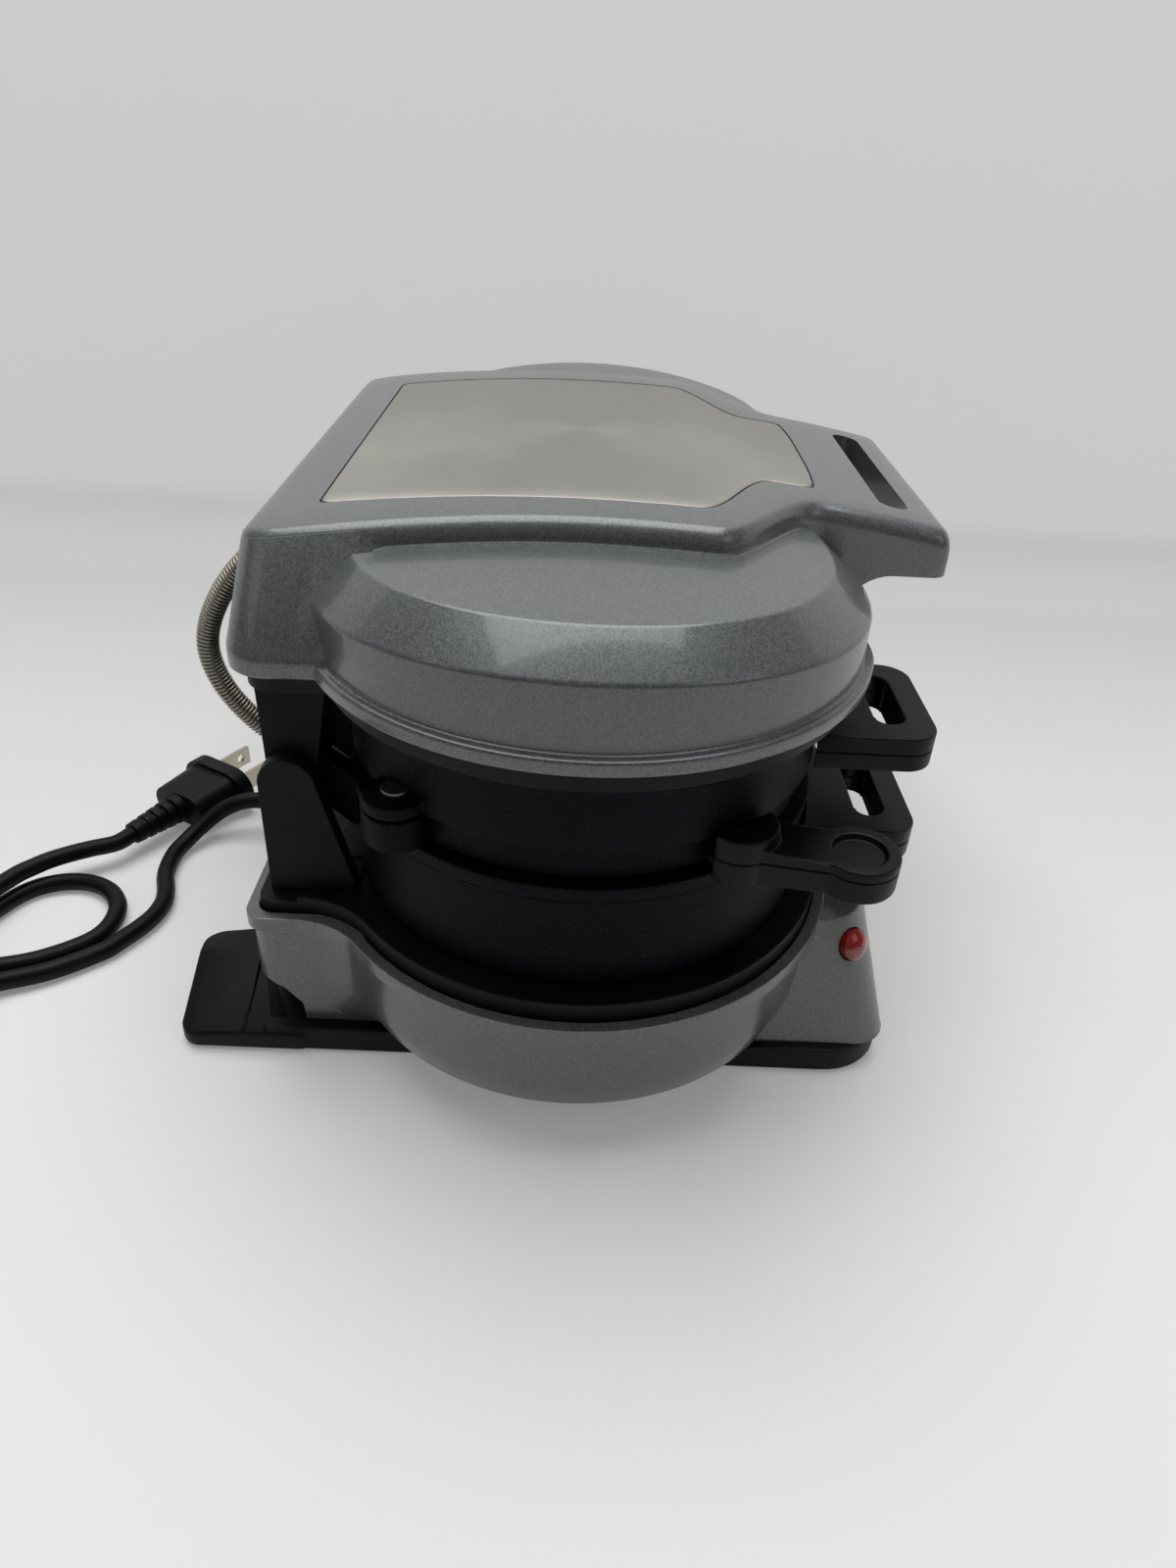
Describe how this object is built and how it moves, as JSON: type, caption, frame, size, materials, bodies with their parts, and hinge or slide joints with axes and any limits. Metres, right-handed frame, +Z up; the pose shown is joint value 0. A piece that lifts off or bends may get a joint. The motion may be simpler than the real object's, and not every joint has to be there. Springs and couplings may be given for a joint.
{
  "type": "breakfast sandwich maker",
  "caption": "Countertop maker of round breakfast sandwiches: hinged cover over paired lobes with stacked rings, swing-out plates, heating plates, front timer and mains lead.",
  "frame": {"origin": "on the table under the middle of the appliance without its lead", "axes": "+X to the right seen from the front, +Y to the rear where the hinge and the lead are, +Z up"},
  "size_m": [0.2616, 0.3013, 0.1341],
  "materials": {
    "silver_paint": "metallic silver-grey paint with a fine sparkle, satin",
    "stainless": "satin stainless sheet, slightly smudged",
    "black_plastic": "fine-grained black heat-resistant plastic",
    "handle_plastic": "black moulded plastic, semi-gloss",
    "nonstick": "speckled blue-black non-stick coating on cast aluminium",
    "dark_paint": "dark grey powder coat on steel",
    "bright_steel": "plated steel",
    "jacket_steel": "wound bright steel wire",
    "heater_sheath": "heat-tinted steel sheath",
    "ceramic": "ceramic and steel housing",
    "rubber": "matt dark rubber",
    "cord_sheath": "black flexible PVC, slightly glossy",
    "blade_metal": "nickel-plated brass",
    "board": "green solder resist",
    "window": "dark clear plastic",
    "red_lens": "clear red plastic",
    "green_lens": "clear green plastic",
    "button_plastic": "dark grey moulded plastic"
  },
  "bodies": {
    "base": {"base_housing": "silver_paint", "base_skirt": "black_plastic", "rubber_feet": "rubber", "skirt_screws": "bright_steel", "base_deck": "black_plastic", "bottom_plate_left": "nonstick", "bottom_plate_right": "nonstick", "lower_heaters": "heater_sheath", "thermostats": "ceramic", "hinge_ear_left": "dark_paint", "hinge_ear_right": "dark_paint", "hinge_rod": "bright_steel", "timer_bezel": "black_plastic", "display_window": "window", "keypad_mat": "rubber", "timer_board": "board", "power_lamp": "red_lens", "ready_lamp": "green_lens", "conduit_gland_low": "black_plastic", "conduit_core": "cord_sheath", "conduit_jacket": "jacket_steel", "cord_gland": "black_plastic", "mains_lead": "cord_sheath", "cord_hank": "cord_sheath", "plug_tail": "cord_sheath", "cord_tie": "cord_sheath", "plug_body": "cord_sheath", "plug_blades": "blade_metal"},
    "lower_ring_left": {"lower_ring_left": "nonstick", "lower_handle_left": "handle_plastic", "lower_handle_screws_left": "bright_steel"},
    "upper_ring_left": {"upper_ring_left": "nonstick", "upper_handle_left": "handle_plastic", "upper_handle_screws_left": "bright_steel", "plate_pivot_left": "bright_steel"},
    "plate_left": {"cooking_plate_left": "nonstick", "plate_handle_left": "handle_plastic"},
    "lower_ring_right": {"lower_ring_right": "nonstick", "lower_handle_right": "handle_plastic", "lower_handle_screws_right": "bright_steel"},
    "upper_ring_right": {"upper_ring_right": "nonstick", "upper_handle_right": "handle_plastic", "upper_handle_screws_right": "bright_steel", "plate_pivot_right": "bright_steel"},
    "plate_right": {"cooking_plate_right": "nonstick", "plate_handle_right": "handle_plastic"},
    "cover": {"cover_housing": "silver_paint", "cover_panel": "stainless", "cover_deck": "black_plastic", "top_plate_left": "nonstick", "top_plate_right": "nonstick", "upper_heaters": "heater_sheath", "cover_bracket_left": "dark_paint", "cover_bracket_right": "dark_paint", "thermal_fuse": "ceramic", "cover_screws": "bright_steel", "conduit_gland_high": "black_plastic"},
    "key_minus": {"button_minus": "button_plastic"},
    "key_plus": {"button_plus": "button_plastic"},
    "key_start": {"button_start": "button_plastic"}
  },
  "joints": [
    {"name": "cover_hinge", "type": "hinge", "parent": "base", "child": "cover", "pos_m": [0, 0.0515, 0.0741], "axis": [-1, 0, 0], "range_deg": [0, 100], "deforming": ["conduit_jacket", "conduit_core"]},
    {"name": "lower_ring_left_hinge", "type": "hinge", "parent": "base", "child": "lower_ring_left", "pos_m": [0, 0.0515, 0.0741], "axis": [-1, 0, 0], "range_deg": [0, 34]},
    {"name": "upper_ring_left_hinge", "type": "hinge", "parent": "lower_ring_left", "child": "upper_ring_left", "pos_m": [0, 0.0515, 0.0741], "axis": [-1, 0, 0], "range_deg": [0, 34]},
    {"name": "plate_left_swing", "type": "hinge", "parent": "upper_ring_left", "child": "plate_left", "pos_m": [-0.1, 0.024, 0.077], "axis": [0, 0, -1], "range_deg": [0, 125]},
    {"name": "lower_ring_right_hinge", "type": "hinge", "parent": "base", "child": "lower_ring_right", "pos_m": [0, 0.0515, 0.0741], "axis": [-1, 0, 0], "range_deg": [0, 34]},
    {"name": "upper_ring_right_hinge", "type": "hinge", "parent": "lower_ring_right", "child": "upper_ring_right", "pos_m": [0, 0.0515, 0.0741], "axis": [-1, 0, 0], "range_deg": [0, 34]},
    {"name": "plate_right_swing", "type": "hinge", "parent": "upper_ring_right", "child": "plate_right", "pos_m": [0.1, 0.024, 0.077], "axis": [0, 0, 1], "range_deg": [0, 125]},
    {"name": "minus_press", "type": "slide", "parent": "base", "child": "key_minus", "axis": [0, 0.9703, -0.2419], "range_m": [0, 0.0008], "stiffness_N_per_m": 400, "springref_m": -0.0004},
    {"name": "plus_press", "type": "slide", "parent": "base", "child": "key_plus", "axis": [0, 0.9703, -0.2419], "range_m": [0, 0.0008], "stiffness_N_per_m": 400, "springref_m": -0.0004},
    {"name": "start_press", "type": "slide", "parent": "base", "child": "key_start", "axis": [0, 0.9703, -0.2419], "range_m": [0, 0.0008], "stiffness_N_per_m": 400, "springref_m": -0.0004}
  ],
  "couplings": [
    {"joint": "lower_ring_left_hinge", "follows": "cover_hinge", "ratio": 0.33},
    {"joint": "upper_ring_left_hinge", "follows": "cover_hinge", "ratio": 0.33},
    {"joint": "lower_ring_right_hinge", "follows": "cover_hinge", "ratio": 0.33},
    {"joint": "upper_ring_right_hinge", "follows": "cover_hinge", "ratio": 0.33}
  ]
}
